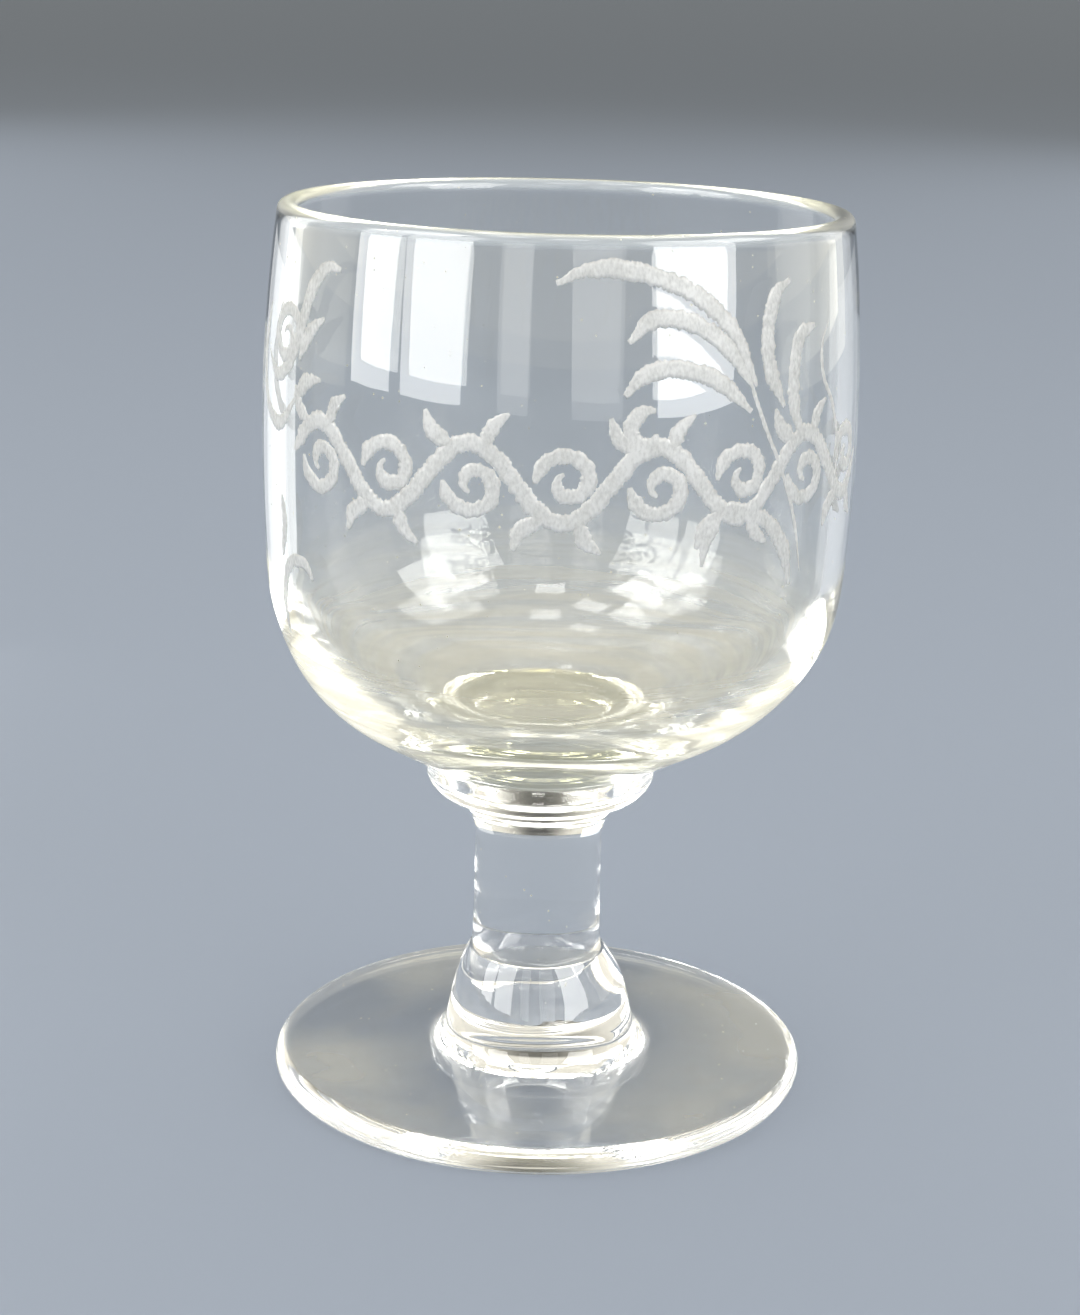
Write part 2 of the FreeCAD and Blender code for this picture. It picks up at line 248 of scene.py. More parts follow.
def foot_outline():
    edge = FOOT_EDGE / 2
    edge_centre = (FOOT_RADIUS - edge, edge)
    ring_out = (edge_centre[0], 0)
    ring_in = (edge_centre[0] - STANDING_RING, 0)
    pontil = (PONTIL_RADIUS, FOOT_HOLLOW)
    dish_top = (0, FOOT_HOLLOW + PONTIL_DEPTH)
    dish_curve = (PONTIL_RADIUS ** 2 + PONTIL_DEPTH ** 2) / (2 * PONTIL_DEPTH)
    face_normal = heading(90 - FOOT_SLOPE)
    side_normal = heading(BOSS_DRAFT)
    face_start = along(edge_centre, face_normal, edge)
    boss_top = (KNOP_RADIUS, FOOT_TOP)
    reach_face = face_normal[0] * face_start[0] + face_normal[1] * face_start[1] + BOSS_SPREAD
    reach_side = side_normal[0] * boss_top[0] + side_normal[1] * boss_top[1] + BOSS_SPREAD
    turn_between = face_normal[0] * side_normal[1] - face_normal[1] * side_normal[0]
    spread = (
        (reach_face * side_normal[1] - reach_side * face_normal[1]) / turn_between,
        (reach_side * face_normal[0] - reach_face * side_normal[0]) / turn_between,
    )
    face_end = along(spread, face_normal, -BOSS_SPREAD)
    side_start = along(spread, side_normal, -BOSS_SPREAD)
    outermost = (FOOT_RADIUS, edge)
    runs = [
        arc((0, dish_top[1] - dish_curve), dish_top, pontil, COARSE_STEP),
        line(pontil, ring_in),
        line(ring_in, ring_out),
        arc(edge_centre, ring_out, outermost),
        arc(edge_centre, outermost, face_start),
        line(face_start, face_end),
        arc(spread, face_end, side_start),
        line(side_start, boss_top, FINE_STEP),
        line(boss_top, (0, FOOT_TOP)),
    ]
    return runs, [8]


# ---------------------------------------------------------------- the hand of the maker

# how far the axis has drifted sideways, as (height, drift)
LEAN_KEYS = [(0, 0.0), (4, 0.5), (12, 0.3), (20, -0.35), (46, -0.4), (66, 0.9), (120, 1.0)]
WAVE_DEPTH = 0.10
WAVE_SCALE = 0.035  # waves per millimetre


def eased(keys, at):
    """A smooth curve through (position, value) keys."""
    for (a, low), (b, high) in zip(keys, keys[1:]):
        if at <= b:
            t = max(0.0, (at - a) / (b - a))
            return low + (high - low) * t * t * (3 - 2 * t)
    return keys[-1][1]


def by_hand(x, y, z):
    """Where a point of the true turned shape ends up in the glass as made, in millimetres."""
    radius = math.hypot(x, y)
    settle = min(1.0, z / 12)
    if radius > 1e-6:
        wave = noise.noise(Vector((x, y, z)) * WAVE_SCALE) * WAVE_DEPTH * min(1.0, radius / 20) * settle
        x += x / radius * wave
        y += y / radius * wave
    return Vector((x + eased(LEAN_KEYS, z), y, z)) * MM


# ---------------------------------------------------------------- mesh building

def turned_piece(name, node, runs, seams, materials):
    """A lathe mesh from runs of outline points; the faces of seam runs get the second material."""
    points = [runs[0][0]]
    owners = []
    for number, run in enumerate(runs):
        points += run[1:]
        owners += [number] * (len(run) - 1)
    rings = []
    vertices = []
    for radius, height in points:
        if radius < 1e-6:
            rings.append([len(vertices)] * SEGMENTS)
            vertices.append(by_hand(0, 0, height))
            continue
        rings.append([len(vertices) + i for i in range(SEGMENTS)])
        for i in range(SEGMENTS):
            turn = 2 * math.pi * i / SEGMENTS
            vertices.append(by_hand(radius * math.cos(turn), radius * math.sin(turn), height))
    faces = []
    slots = []
    for low, high, owner in zip(rings, rings[1:], owners):
        for i in range(SEGMENTS):
            after = (i + 1) % SEGMENTS
            corners = [low[i], low[after], high[after], high[i]]
            faces.append([c for n, c in enumerate(corners) if c not in corners[:n]])
            slots.append(1 if owner in seams else 0)
    piece = mesh_piece(name, vertices, faces, materials)
    piece.data.polygons.foreach_set("material_index", slots)
    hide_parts(node)


def mesh_piece(name, vertices, faces, materials, crease=35):
    """A smooth-shaded mesh object that rides on the glass."""
    mesh = bpy.data.meshes.new(name)
    mesh.from_pydata(vertices, [], faces)
    for material in materials:
        mesh.materials.append(material)
    mesh.shade_smooth()
    mesh.set_sharp_from_angle(angle=math.radians(crease))
    piece = bpy.data.objects.new(name, mesh)
    bpy.context.scene.collection.objects.link(piece)
    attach(piece, ROOT)
    return piece


# ---------------------------------------------------------------- materials

class Nodes:
    """A short way to write a node tree."""

    def __init__(self, tree):
        self.tree = tree
        tree.nodes.clear()

    def add(self, kind, inputs=None, **settings):
        node = self.tree.nodes.new(kind)
        for key, value in settings.items():
            setattr(node, key, value)
        for key, value in (inputs or {}).items():
            if isinstance(value, bpy.types.NodeSocket):
                self.tree.links.new(value, node.inputs[key])
            else:
                node.inputs[key].default_value = value
        return node

    def math(self, operation, a, b=0.0, c=0.0, clamp=False):
        settings = {"operation": operation, "use_clamp": clamp}
        return self.add("ShaderNodeMath", {0: a, 1: b, 2: c}, **settings).outputs[0]

    def smooth_step(self, value, start, end, low, high):
        """A value that changes smoothly from low to high as the input goes from start to end."""
        inputs = {0: value, 1: start, 2: end, 3: low, 4: high}
        return self.add("ShaderNodeMapRange", inputs, interpolation_type="SMOOTHSTEP").outputs[0]


def new_material(name):
    material = bpy.data.materials.new(name)
    material.use_nodes = True
    return material, Nodes(material.node_tree)


GLASS_TINT = (0.99, 0.99, 0.975, 1)
GLASS_INDEX = 1.5
SHADE_CLEAR = 0.99  # share of soft light that one clear surface lets through
SHADE_LOSS = 0.7  # share of the mirrored light that is taken off that
DEPTH_COLOUR = (0.74, 0.71, 0.25, 1)  # of the bowl's glass seen through its depth
DEPTH_DENSITY = 1.3  # per metre
BLOOM_COLOUR = (0.95, 0.90, 0.72, 1)  # of the dull film and the dust
SCUFF_COLOUR = (0.88, 0.94, 0.97, 1)  # of the worn lip
LIP_WEAR_DEPTHS = (1.9, 0.9)  # millimetres below the top of the lip, where its wear begins and is full
DUST_SPACING = 1.2  # millimetres
DUST_SHARE = 0.3  # of the cells that hold a speck
DUST_SIZE = 0.13  # of the largest speck, as a share of a cell
DUST_COVER = 0.9
FROST_COLOUR = (0.97, 0.97, 0.95, 1)
FROST_CLEAR = (0.95, 0.95, 0.93, 1)  # light that passes where the frost is thin
FLOOR_COLOUR = (0.50, 0.57, 0.70, 1)

# cells of noise to the metre along each axis
RING_CELLS = (12, 12, 1100)
WAVE_CELLS = (45, 45, 30)
FOLD_CELLS = (90, 90, 30)
SMEAR_CELLS = (35, 35, 700)
SCORE_CELLS = (2600, 2600, 1500)
PATCH_CELLS = (300, 300, 300)
FOLD_TURN = 120  # radians to the metre


class Finish:
    """How one gather of glass was worked and has worn. Depths are in millimetres."""

    def __init__(
        self,
        rings=0.004,
        ring_zone=(60, 80),
        waves=0.05,
        twist=0.0,
        haze=(0.0, 0.0),
        haze_zone=(0, 1),
        smears=(0.6, 1.2),
        lip_wear=0.0,
    ):
        self.rings = rings  # depth of the fine tool rings
        self.ring_zone = ring_zone  # heights between which they fade out
        self.waves = waves  # depth of the slow waves
        self.twist = twist  # depth of the folds twisted round the axis
        self.haze = haze  # share of the surface that is dulled, low down and high up
        self.haze_zone = haze_zone  # heights between which the dulling changes
        self.smears = smears  # least and most that smears multiply the dulling by
        self.lip_wear = lip_wear  # share of the lip's surface that is dulled by use


def stretched_noise(nodes, place, scale, detail):
    """Noise with its own scale along each axis, in cells to the metre."""
    spread = nodes.add("ShaderNodeMapping", {"Vector": place, "Scale": scale}).outputs[0]
    return nodes.add("ShaderNodeTexNoise", {"Vector": spread, "Scale": 1.0, "Detail": detail}).outputs[0]


def worked_surface(nodes, place, height, finish):
    """The bump of hand-made glass: tool rings, slow waves and twisted folds."""
    rings = stretched_noise(nodes, place, RING_CELLS, 3.0)
    fade_from, fade_to = [edge * MM for edge in finish.ring_zone]
    strength = nodes.smooth_step(height, fade_from, fade_to, finish.rings * MM, 0.0)
    relief = nodes.math("MULTIPLY", rings, strength)
    waves = stretched_noise(nodes, place, WAVE_CELLS, 1.0)
    relief = nodes.math("ADD", relief, nodes.math("MULTIPLY", waves, finish.waves * MM))
    if finish.twist:
        angle = nodes.math("MULTIPLY", height, FOLD_TURN)
        turning = {"Vector": place, "Angle": angle}
        turned = nodes.add("ShaderNodeVectorRotate", turning, rotation_type="Z_AXIS").outputs[0]
        folds = stretched_noise(nodes, turned, FOLD_CELLS, 0.0)
        relief = nodes.math("ADD", relief, nodes.math("MULTIPLY", folds, finish.twist * MM))
    return nodes.add("ShaderNodeBump", {"Height": relief, "Strength": 1.0, "Distance": 1.0}).outputs[0]


def dust(nodes, place):
    """A mask of tiny specks, one in each of a share of the cells."""
    spread = {"Vector": place, "Scale": 1 / (DUST_SPACING * MM), "Randomness": 1.0}
    cells = nodes.add("ShaderNodeTexVoronoi", spread)
    pick = nodes.add("ShaderNodeSeparateColor", {0: cells.outputs["Color"]})
    size = nodes.math("MULTIPLY", pick.outputs[1], DUST_SIZE)
    near = nodes.math("LESS_THAN", cells.outputs["Distance"], size)
    kept = nodes.math("LESS_THAN", pick.outputs[0], DUST_SHARE)
    return nodes.math("MULTIPLY", near, kept)


def glass_material(name, finish, straw):
    """Clear old glass that lets soft light through to the floor, straw-coloured in its depth if asked."""
    material, nodes = new_material(name)
    place = nodes.add("ShaderNodeTexCoord").outputs["Object"]
    height = nodes.add("ShaderNodeSeparateXYZ", {0: place}).outputs[2]
    normal = worked_surface(nodes, place, height, finish)
    glass = nodes.add(
        "ShaderNodeBsdfPrincipled",
        {
            "Base Color": GLASS_TINT,
            "Roughness": 0.0,
            "IOR": GLASS_INDEX,
            "Transmission Weight": 1.0,
            "Normal": normal,
        },
    ).outputs[0]
    bloom = nodes.add("ShaderNodeBsdfPrincipled", {"Base Color": BLOOM_COLOUR, "Roughness": 0.6}).outputs[0]
    fade_from, fade_to = [edge * MM for edge in finish.haze_zone]
    film = nodes.smooth_step(height, fade_from, fade_to, *finish.haze)
    smears = stretched_noise(nodes, place, SMEAR_CELLS, 4.0)
    smeared = nodes.smooth_step(smears, 0.35, 0.65, *finish.smears)
    specks = nodes.math("MULTIPLY", dust(nodes, place), DUST_COVER)
    worn = nodes.math("MAXIMUM", specks, nodes.math("MULTIPLY", film, smeared), clamp=True)
    from_inside = nodes.add("ShaderNodeNewGeometry").outputs["Backfacing"]
    from_outside = nodes.math("SUBTRACT", 1.0, from_inside)
    worn = nodes.math("MULTIPLY", worn, from_outside)
    surface = nodes.add("ShaderNodeMixShader", {0: worn, 1: glass, 2: bloom}).outputs[0]
    if finish.lip_wear:
        scuffed = {"Base Color": SCUFF_COLOUR, "Roughness": 0.5}
        scuffs = nodes.add("ShaderNodeBsdfPrincipled", scuffed).outputs[0]
        wear_from, wear_to = [(BOWL_TOP - depth) * MM for depth in LIP_WEAR_DEPTHS]
        lip = nodes.smooth_step(height, wear_from, wear_to, 0.0, finish.lip_wear)
        lip = nodes.math("MULTIPLY", lip, from_outside)
        surface = nodes.add("ShaderNodeMixShader", {0: lip, 1: surface, 2: scuffs}).outputs[0]
    index = nodes.math("POWER", GLASS_INDEX, nodes.math("MULTIPLY_ADD", from_inside, -2.0, 1.0))
    mirrored = nodes.add("ShaderNodeFresnel", {"IOR": index}).outputs[0]
    shade = nodes.math("SUBTRACT", SHADE_CLEAR, nodes.math("MULTIPLY", mirrored, SHADE_LOSS), clamp=True)
    through = nodes.add("ShaderNodeBsdfTransparent", {"Color": shade}).outputs[0]
    path = nodes.add("ShaderNodeLightPath")
    soft = nodes.math("MAXIMUM", path.outputs["Is Shadow Ray"], path.outputs["Is Diffuse Ray"])
    mixed = nodes.add("ShaderNodeMixShader", {0: soft, 1: surface, 2: through}).outputs[0]
    output = {"Surface": mixed}
    if straw:
        inputs = {"Color": DEPTH_COLOUR, "Density": DEPTH_DENSITY}
        output["Volume"] = nodes.add("ShaderNodeVolumeAbsorption", inputs).outputs[0]
    nodes.add("ShaderNodeOutputMaterial", output)
    return material


def seam_material():
    """The fused faces between two gathers, which have no surface to see."""
    material, nodes = new_material("fused_seam")
    clear = nodes.add("ShaderNodeBsdfTransparent", {"Color": (1, 1, 1, 1)}).outputs[0]
    nodes.add("ShaderNodeOutputMaterial", {"Surface": clear})
    return material


def frost_material():
    """Wheel-cut frost: white, matt and very slightly see-through, scored by the wheel."""
    material, nodes = new_material("cut_frost")
    place = nodes.add("ShaderNodeTexCoord").outputs["Object"]
    scores = stretched_noise(nodes, place, SCORE_CELLS, 3.0)
    patches = stretched_noise(nodes, place, PATCH_CELLS, 2.0)
    bump = nodes.add("ShaderNodeBump", {"Height": scores, "Strength": 0.5, "Distance": 0.0001}).outputs[0]
    matt = {"Base Color": FROST_COLOUR, "Roughness": 0.5, "Normal": bump}
    frost = nodes.add("ShaderNodeBsdfPrincipled", matt).outputs[0]
    clear = nodes.add("ShaderNodeBsdfTransparent", {"Color": FROST_CLEAR}).outputs[0]
    mottle = nodes.math("ADD", nodes.math("MULTIPLY", scores, 0.5), nodes.math("MULTIPLY", patches, 0.5))
    cover = nodes.add("ShaderNodeMapRange", {0: mottle, 1: 0.35, 2: 0.6, 3: 0.6, 4: 0.97}).outputs[0]
    mixed = nodes.add("ShaderNodeMixShader", {0: cover, 1: clear, 2: frost}).outputs[0]
    nodes.add("ShaderNodeOutputMaterial", {"Surface": mixed})
    return material


def floor_material():
    material, nodes = new_material("plain_floor")
    matt = {"Base Color": FLOOR_COLOUR, "Roughness": 0.8, "Specular IOR Level": 0.2}
    paint = nodes.add("ShaderNodeBsdfPrincipled", matt).outputs[0]
    nodes.add("ShaderNodeOutputMaterial", {"Surface": paint})
    return material


# ---------------------------------------------------------------- engraving

ARC_PER_DEGREE = math.radians(1) * 39.0  # millimetres of bowl wall to a degree of azimuth
CUT_STEP = 0.16  # distance between samples along a cut
CUT_RAISE = (0.012, 0.03, 0.035, 0.03, 0.012)  # how proud the frost is across a cut
CUT_RAGGED = 0.16  # how far a cut's edge wanders


def smooth_path(points, step=CUT_STEP):
    """Evenly spaced points on a Catmull-Rom curve through (azimuth, height) points, in flat millimetres."""
    flat = [Vector((azimuth * ARC_PER_DEGREE, height)) for azimuth, height in points]
    padded = [2 * flat[0] - flat[1], *flat, 2 * flat[-1] - flat[-2]]
    dense = []
    for a, b, c, d in zip(padded, padded[1:], padded[2:], padded[3:]):
        count = max(4, math.ceil((c - b).length / (step / 4)))
        for i in range(count):
            t = i / count
            dense.append(
                0.5 * (2 * b + (c - a) * t + (2 * a - 5 * b + 4 * c - d) * t ** 2
                       + (3 * b - a - 3 * c + d) * t ** 3)
            )
    dense.append(flat[-1])
    return evenly(dense, step)


def evenly(dense, step):
    """Points a step apart along a dense polyline."""
    kept = [dense[0]]
    gone = 0.0
    for before, after in zip(dense, dense[1:]):
        gone += (after - before).length
        if gone >= step:
            kept.append(after)
            gone = 0.0
    return kept


def spiral(centre, start_radius, end_radius, start_angle, turns):
    """A curl round an (azimuth, height) centre, winding inwards; positive turns go anticlockwise."""
    middle = Vector((centre[0] * ARC_PER_DEGREE, centre[1]))
    count = max(12, int(abs(turns) * 220))
    dense = []
    for i in range(count + 1):
        t = i / count
        radius = start_radius + (end_radius - start_radius) * t ** 0.8
        angle = math.radians(start_angle + 360 * turns * t)
        dense.append(middle + radius * Vector((math.cos(angle), math.sin(angle))))
    return evenly(dense, CUT_STEP)


def on_bowl(flat, proud):
    """Where a flat millimetre point lies on the bowl, a little proud of the glass."""
    azimuth = math.radians(flat.x / ARC_PER_DEGREE)
    radius = Bowl.outer_radius(flat.y) + proud
    return by_hand(radius * math.sin(azimuth), -radius * math.cos(azimuth), flat.y)


def swelling(t, lead_in, lead_out):
    """A cut's relative width along its length: it starts and ends thin, as the wheel touches and leaves."""
    start = min(1.0, 0.3 + t / max(lead_in, 1e-3))
    end = min(1.0, 0.25 + (1 - t) / max(lead_out, 1e-3))
    return min(start, end)


class Engraver:
    """Collects cuts as thin closed ribbons in one mesh."""

    def __init__(self, seed):
        self.vertices = []
        self.faces = []
        self.random = random.Random(seed)

    def cut(self, path, width, lead_in=0.2, lead_out=0.3):
        """Add one cut of a given width along a flat path."""
        across = len(CUT_RAISE)
        base = len(self.vertices)
        ragged = [0.0, 0.0]
        for i, point in enumerate(path):
            ahead = path[min(i + 1, len(path) - 1)] - path[max(i - 1, 0)]
            side = Vector((-ahead.y, ahead.x)).normalized()
            half = width / 2 * swelling(i / (len(path) - 1), lead_in, lead_out)
            ragged = [0.45 * r + self.random.uniform(-1, 1) * CUT_RAGGED for r in ragged]
            edges = [-half + ragged[0] * min(1, half), half + ragged[1] * min(1, half)]
            row = [edges[0] + (edges[1] - edges[0]) * k / (across - 1) for k in range(across)]
            self.vertices += [on_bowl(point + side * r, lift) for r, lift in zip(row, CUT_RAISE)]
            self.vertices += [on_bowl(point + side * r, 0.004) for r in row]
        count = len(path)
        for i in range(count - 1):
            here = base + i * 2 * across
            there = here + 2 * across
            for k in range(across - 1):
                self.faces.append((here + k, here + k + 1, there + k + 1, there + k))
                low, next_low = here + across + k, there + across + k
                self.faces.append((low, next_low, next_low + 1, low + 1))
            self.faces.append((here, there, there + across, here + across))
            last = across - 1
            self.faces.append((here + last, here + last + across, there + last + across, there + last))
        for row, flip in ((base, False), (base + (count - 1) * 2 * across, True)):
            for k in range(across - 1):
                face = (row + k, row + across + k, row + across + k + 1, row + k + 1)
                self.faces.append(face[::-1] if flip else face)

    def piece(self, name, material):
        """Make the mesh of every cut so far."""
        piece = mesh_piece(name, self.vertices, self.faces, [material], crease=180)


def leaf(engraver, root, tip, bend, width):
    """A short swelling cut from root to tip, bowed sideways by bend millimetres."""
    start = Vector((root[0] * ARC_PER_DEGREE, root[1]))
    end = Vector((tip[0] * ARC_PER_DEGREE, tip[1]))
    span = end - start
    side = Vector((-span.y, span.x)).normalized() * bend
    middle = (start + end) / 2 + side
    flat = [(v.x / ARC_PER_DEGREE, v.y) for v in (start, middle, end)]
    engraver.cut(smooth_path(flat), width, lead_in=0.35, lead_out=0.6)


VINE_HEIGHT = 91.0
VINE_SWING = 4.6
VINE_HALF_WAVE = 16.5  # degrees
VINE_START = -57.0
VINE_HALVES = 8


def engrave_vine(material):
    """A running vine round the middle of the bowl, with a curl in every bend and leaves between."""
    engraver = Engraver(seed=11)
    stem = []
    for i in range(4 * VINE_HALVES + 1):
        swing = VINE_SWING * math.sin(i * math.pi / 4)
        stem.append((VINE_START + VINE_HALF_WAVE * i / 4, VINE_HEIGHT + swing))
    engraver.cut(smooth_path(stem), 2.2, lead_in=0.03, lead_out=0.05)
    for i in range(VINE_HALVES):
        up = 1 if i % 2 == 0 else -1
        left = VINE_START + VINE_HALF_WAVE * i
        centre = (left + VINE_HALF_WAVE * 0.55, VINE_HEIGHT - up * 0.5)
        engraver.cut(spiral(centre, 3.9, 0.9, 180 - up * 5, up * 1.2), 1.9, lead_in=0.15, lead_out=0.25)
        root = (left + VINE_HALF_WAVE * 0.3, VINE_HEIGHT + up * VINE_SWING * 0.9)
        tip = (left - VINE_HALF_WAVE * 0.02, VINE_HEIGHT + up * VINE_SWING * 1.75)
        leaf(engraver, root, tip, up * 0.9, 2.1)
        root = (left + VINE_HALF_WAVE * 0.66, VINE_HEIGHT + up * VINE_SWING * 0.9)
        tip = (left + VINE_HALF_WAVE * 0.92, VINE_HEIGHT + up * VINE_SWING * 1.8)
        leaf(engraver, root, tip, up * 0.7, 1.9)
    engraver.piece("engraved_vine", material)


def engrave_left_spray(material):
    """The scroll at the left of the bowl, with a curl, leaf tips and a trailing tail."""
    engraver = Engraver(seed=12)
    sweep = [(-45, 114), (-49, 114), (-53, 111.5), (-56, 107), (-59.5, 102), (-66, 99.5), (-72, 102)]
    engraver.cut(smooth_path(sweep), 2.0)
    engraver.cut(spiral((-62, 104.5), 4.6, 0.9, -30, 1.5), 1.8)
    leaf(engraver, (-55.5, 103), (-48.5, 108), 0.8, 2.0)
    leaf(engraver, (-57, 97.5), (-48.5, 100.5), 0.9, 2.0)
    engraver.cut(smooth_path([(-72.5, 108), (-75.5, 101), (-72, 95.5), (-64, 93.5), (-57, 97.5)]), 1.9)
    tail = [(-63, 84.5), (-62, 81), (-63.5, 76.5)]
    engraver.cut(smooth_path(tail), 1.5)
    engraver.cut(smooth_path([(-51.5, 75), (-54.5, 76.8), (-60, 76), (-63.5, 72), (-64.5, 66)]), 1.7)
    engraver.piece("engraved_left_spray", material)


def engrave_right_spray(material):
    """The fan of plumes at the right of the bowl, and the scroll that falls from it."""
    engraver = Engraver(seed=13)
    plumes = [
        [(-1.5, 114.5), (5, 116.2), (14, 115.8), (24, 113.2), (32, 108.5), (37, 102)],
        [(11.5, 107.8), (16, 110.4), (23, 110), (30, 107.2), (36, 102)],
        [(11, 101.6), (15, 104.2), (22, 104.6), (29, 102.8), (36, 99)],
        [(45.5, 114.3), (41.5, 112.5), (39.5, 108), (40.5, 103.5), (44, 99)],
        [(53, 108.5), (48.5, 107.5), (46.5, 103.5), (47, 98.5), (50, 94.5)],
    ]
    for plume in plumes:
        engraver.cut(smooth_path(plume), 2.2, 0.25, 0.35)
    engraver.cut(spiral((15.2, 97.2), 2.9, 1.0, 70, 0.8), 2.0, 0.3, 0.2)
    loop = [(58, 108.5), (55.5, 106), (56, 102), (60, 98), (63, 92), (61, 88), (57.5, 91)]
    engraver.cut(smooth_path(loop), 0.7)
    fall = [(27, 86.6), (33, 87.2), (40, 85.6), (45.5, 81.5), (48.3, 76.4)]
    engraver.cut(smooth_path(fall), 2.1)
    leaf(engraver, (30, 86.4), (26.5, 80.5), -0.8, 1.6)
    engraver.cut(smooth_path([(34, 105.3), (38.5, 98), (44, 91), (48, 85), (51.2, 78)]), 0.6)
    engraver.piece("engraved_right_spray", material)


# ---------------------------------------------------------------- floor, light and camera

def add_floor():
    size = 30.0
    bpy.ops.mesh.primitive_plane_add(size=size, location=(0, size / 3, -0.05 * MM))
    floor = bpy.context.object
    floor.name = "floor"
    floor.data.materials.append(floor_material())


def add_softbox(name, place, aim, width, height, radiance, seen, lights, colour):
    """A rectangular soft light of given radiance, seen in glass, lighting matt surfaces, or both."""
    lamp = bpy.data.lights.new(name, "AREA")
    lamp.shape = "RECTANGLE"
    lamp.size = width
    lamp.size_y = height
    lamp.energy = radiance * math.pi * width * height
    lamp.color = colour
    holder = bpy.data.objects.new(name, lamp)
    direction = Vector(aim) - Vector(place)
    holder.matrix_world = Matrix.Translation(place) @ direction.to_track_quat("-Z", "Y").to_matrix().to_4x4()
    holder.visible_glossy = seen
    holder.visible_transmission = seen
    holder.visible_diffuse = lights
    bpy.context.scene.collection.objects.link(holder)


def around(azimuth, distance, height):
    """A place at an azimuth measured from the camera's side, positive to the camera's right."""
    turn = math.radians(azimuth)
    return (math.sin(turn) * distance, -math.cos(turn) * distance, height)


def toward(centre, azimuth, elevation, distance):
    """A place at an azimuth, elevation and distance from a centre."""
    rise = math.radians(elevation)
    x, y, _ = around(azimuth, distance * math.cos(rise), 0)
    return (centre[0] + x, centre[1] + y, centre[2] + distance * math.sin(rise))


ROOM_GLOW = 0.85  # radiance of the pale room, as seen in the glass
ROOM_LIGHT = 0.2  # radiance of the room as a light on the floor
ROOM_DARK = 0.9  # how much dimmer the glow is low down behind the glass
ROOM_COLOUR = (1.0, 0.96, 0.84, 1)
# directions, as parts of a unit vector, between which the darker patch fades
DARK_ASIDE = (0.05, 0.42)
DARK_BEHIND = (0.3, 0.6)
DARK_ABOVE = (0.50, 0.65)
DAYLIGHT = (1.0, 1.0, 0.98)
CREAM = (1.0, 0.95, 0.78)

CEILING_LAMPS = ((52, 47), (2, 61), (-46, 71), (-57, 50), (-82, 32))  # azimuth and elevation
CEILING_DISTANCE = 0.8
CEILING_SIZE = (0.16, 0.11)
CEILING_RADIANCE = 12.0
FILL_DISTANCE = 1.6
FILL_HEIGHT = 0.62
FILL_SIZE = (1.2, 0.8)


def add_lights():
    """Boxes and lamps that only the glass sees, and fills that light the floor and frost, in metres."""
    bowl = (0, 0, 0.09)
    boxes = (
        # name, azimuth, distance, height, width, tall, radiance, colour
        ("left_window", -48, 0.55, 0.28, 0.27, 0.50, 7.5, DAYLIGHT),
        ("left_window_edge", -74, 0.55, 0.28, 0.20, 0.50, 7.5, DAYLIGHT),
        ("right_window", 50, 0.55, 0.28, 0.34, 0.50, 8.5, DAYLIGHT),
        ("left_screen", -17, 0.55, 0.28, 0.12, 0.50, 1.8, DAYLIGHT),
        ("right_screen", 13, 0.55, 0.28, 0.20, 0.50, 1.6, DAYLIGHT),
        ("left_high_window", -66, 0.42, 0.56, 0.26, 0.24, 10.0, DAYLIGHT),
        ("right_high_window", 78, 0.48, 0.46, 0.26, 0.28, 10.0, DAYLIGHT),
        ("left_wall", -110, 0.60, 0.18, 0.55, 0.30, 0.85, CREAM),
        ("right_wall", 110, 0.60, 0.18, 0.55, 0.30, 0.85, CREAM),
        ("left_low_card", -135, 0.24, 0.05, 0.14, 0.10, 0.75, DAYLIGHT),
        ("right_low_card", 135, 0.24, 0.05, 0.12, 0.10, 0.30, DAYLIGHT),
        ("back_ceiling", 180, 0.34, 0.72, 0.60, 0.40, 1.8, CREAM),
    )
    for name, azimuth, distance, height, width, tall, radiance, colour in boxes:
        place = around(azimuth, distance, height)
        add_softbox(name, place, bowl, width, tall, radiance, seen=True, lights=False, colour=colour)
    for i, (azimuth, elevation) in enumerate(CEILING_LAMPS):
        place = toward(bowl, azimuth, elevation, CEILING_DISTANCE)
        name = f"ceiling_lamp_{i + 1}"
        add_softbox(name, place, bowl, *CEILING_SIZE, CEILING_RADIANCE, True, False, DAYLIGHT)
    fills = (
        ("left_fill", -58, 3.1),
        ("right_fill", 50, 3.1),
        ("left_back_fill", -140, 1.1),
        ("right_back_fill", 140, 1.1),
    )
    for name, azimuth, radiance in fills:
        place = around(azimuth, FILL_DISTANCE, FILL_HEIGHT)
        add_softbox(name, place, bowl, *FILL_SIZE, radiance, seen=False, lights=True, colour=DAYLIGHT)
    add_softbox("overhead", (0, 0.1, 1.5), (0, 0, 0), 1.0, 1.0, 1.5, seen=True, lights=True, colour=DAYLIGHT)
    add_room()


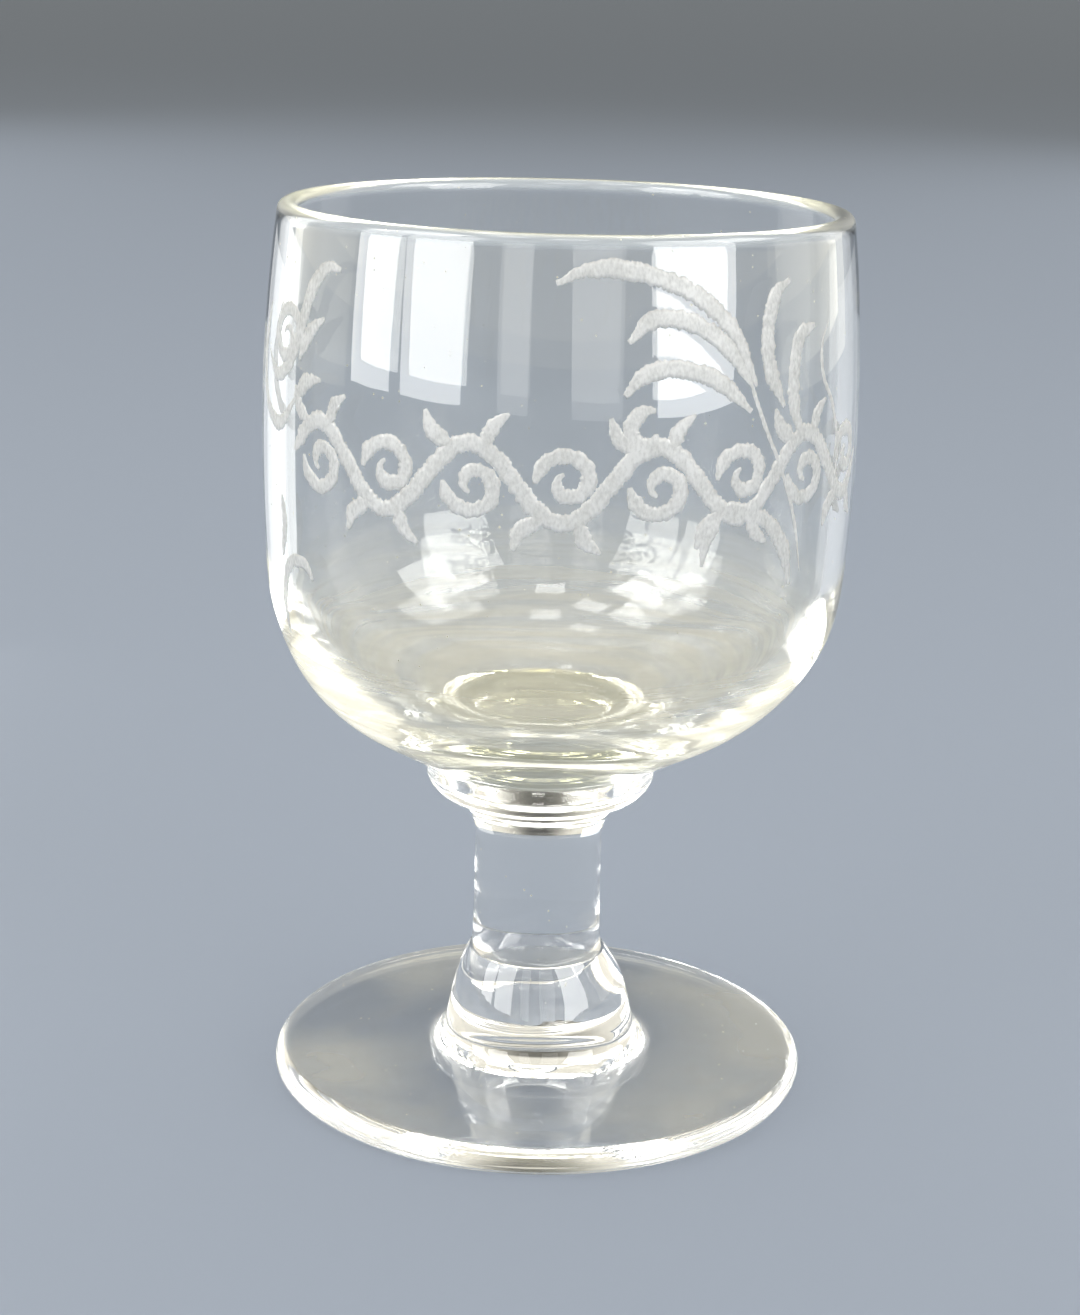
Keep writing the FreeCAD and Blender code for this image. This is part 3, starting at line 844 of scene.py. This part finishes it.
def add_room():
    """Pale walls all round, brighter to the eye than as a light, with a darker patch low down behind."""
    world = bpy.data.worlds.new("studio")
    world.use_nodes = True
    nodes = Nodes(world.node_tree)
    direction = nodes.add("ShaderNodeTexCoord").outputs["Generated"]
    x, y, z = nodes.add("ShaderNodeSeparateXYZ", {0: direction}).outputs
    dark = nodes.smooth_step(nodes.math("ABSOLUTE", x), *DARK_ASIDE, 1.0, 0.0)
    dark = nodes.math("MULTIPLY", dark, nodes.smooth_step(y, *DARK_BEHIND, 0.0, 1.0))
    dark = nodes.math("MULTIPLY", dark, nodes.smooth_step(z, *DARK_ABOVE, 1.0, 0.0))
    glow = nodes.math("MULTIPLY_ADD", dark, -ROOM_DARK * ROOM_GLOW, ROOM_GLOW)
    diffuse = nodes.add("ShaderNodeLightPath").outputs["Is Diffuse Ray"]
    light = nodes.math("MULTIPLY", diffuse, ROOM_LIGHT)
    seen = nodes.math("MULTIPLY", nodes.math("SUBTRACT", 1.0, diffuse), glow)
    strength = nodes.math("ADD", light, seen)
    walls = nodes.add("ShaderNodeBackground", {"Color": ROOM_COLOUR, "Strength": strength}).outputs[0]
    nodes.add("ShaderNodeOutputWorld", {"Surface": walls})
    bpy.context.scene.world = world


CAMERA_DISTANCE = 0.3341
CAMERA_HEIGHT = 0.15266
CAMERA_PITCH = 15.65
CAMERA_ROLL = 1.53
CAMERA_YAW = -0.14
CAMERA_LENS = 70.13


def add_camera():
    pitch, roll, yaw = (math.radians(a) for a in (CAMERA_PITCH, CAMERA_ROLL, CAMERA_YAW))
    forward = Vector((math.sin(yaw) * math.cos(pitch), math.cos(yaw) * math.cos(pitch), -math.sin(pitch)))
    level = Vector((math.cos(yaw), -math.sin(yaw), 0))
    above = level.cross(forward)
    right = level * math.cos(roll) + above * math.sin(roll)
    up = above * math.cos(roll) - level * math.sin(roll)
    camera = bpy.data.cameras.new("camera")
    camera.lens = CAMERA_LENS
    camera.clip_start = 0.01
    holder = bpy.data.objects.new("camera", camera)
    turn = Matrix((right, up, -forward)).transposed().to_4x4()
    holder.matrix_world = Matrix.Translation((0, -CAMERA_DISTANCE, CAMERA_HEIGHT)) @ turn
    bpy.context.scene.collection.objects.link(holder)
    bpy.context.scene.camera = holder


# ---------------------------------------------------------------- build

def set_looks():
    scene = bpy.context.scene
    scene.cycles.max_bounces = 64
    scene.cycles.transmission_bounces = 64
    scene.cycles.glossy_bounces = 64
    scene.cycles.transparent_max_bounces = 64
    scene.view_settings.view_transform = "Standard"


def build():
    seam = seam_material()
    frost = frost_material()
    bowl_finish = Finish(
        rings=0.010, ring_zone=(54, 74), waves=0.035, haze=(0.5, 0.0), haze_zone=(54, 78), lip_wear=0.3
    )
    foot_finish = Finish(
        rings=0.002, waves=0.12, twist=0.03, haze=(0.17, 0.03), haze_zone=(3.75, 4.3), smears=(0.0, 1.9)
    )
    gathers = (
        ("foot", foot_outline, foot_finish),
        ("knop", knop_outline, Finish(waves=0.1, twist=0.4, haze=(0.04, 0.0), haze_zone=(10, 16))),
        ("stem", stem_outline, Finish(rings=0.005, waves=0.04, twist=0.02)),
        ("merese", merese_outline, Finish(rings=0.030, haze=(0.06, 0.10), haze_zone=(40, 45))),
        ("bowl", bowl_outline, bowl_finish),
    )
    for node, outline, finish in gathers:
        runs, seams = outline()
        glass = glass_material(f"{node}_glass", finish, straw=node == "bowl")
        turned_piece(f"{node}_glass", node, runs, seams, [glass, seam])
    engrave_vine(frost)
    engrave_left_spray(frost)
    engrave_right_spray(frost)
    add_floor()
    add_lights()
    add_camera()
    set_looks()


build()
